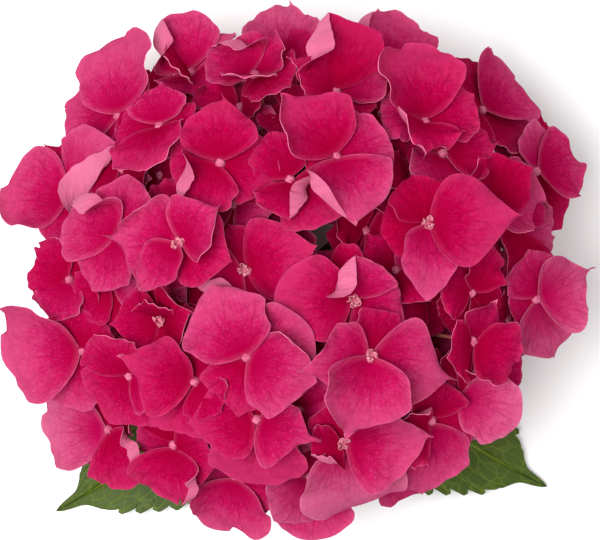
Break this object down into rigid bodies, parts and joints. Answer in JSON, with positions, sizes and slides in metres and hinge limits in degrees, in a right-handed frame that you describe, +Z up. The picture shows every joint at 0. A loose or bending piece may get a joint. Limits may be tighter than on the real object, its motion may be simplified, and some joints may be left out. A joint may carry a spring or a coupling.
{
  "type": "cut hydrangea flower head",
  "caption": "Cut mophead hydrangea flower head: domed clusters of four-sepalled florets on short rays over toothed leaves and a flat-cut stem.",
  "frame": {"origin": "centre of the stem's flat-cut foot, on the table", "axes": "+Z up along the stem to the top of the dome, +X across the head to the right as seen from above, +Y across the head away from the two leaves"},
  "size_m": [0.1879, 0.1695, 0.1114],
  "materials": {
    "sepal_pink": "soft satin petal",
    "stem_green": "smooth matt stalk",
    "leaf_green": "low-gloss leaf"
  },
  "bodies": {
    "root": {"stem": "stem_green", "ray_top": "stem_green", "ray_inner_1": "stem_green", "ray_inner_2": "stem_green", "ray_inner_3": "stem_green", "ray_inner_4": "stem_green", "ray_inner_5": "stem_green", "ray_outer_1": "stem_green", "ray_outer_2": "stem_green", "ray_outer_3": "stem_green", "ray_outer_4": "stem_green", "ray_outer_5": "stem_green", "ray_outer_6": "stem_green", "ray_outer_7": "stem_green", "leaf_left": "leaf_green", "leaf_right": "leaf_green", "cluster_top": "sepal_pink", "cluster_inner_1": "sepal_pink", "cluster_inner_2": "sepal_pink", "cluster_inner_3": "sepal_pink", "cluster_inner_4": "sepal_pink", "cluster_inner_5": "sepal_pink", "cluster_outer_1": "sepal_pink", "cluster_outer_2": "sepal_pink", "cluster_outer_3": "sepal_pink", "cluster_outer_4": "sepal_pink", "cluster_outer_5": "sepal_pink", "cluster_outer_6": "sepal_pink", "cluster_outer_7": "sepal_pink"}
  },
  "joints": []
}
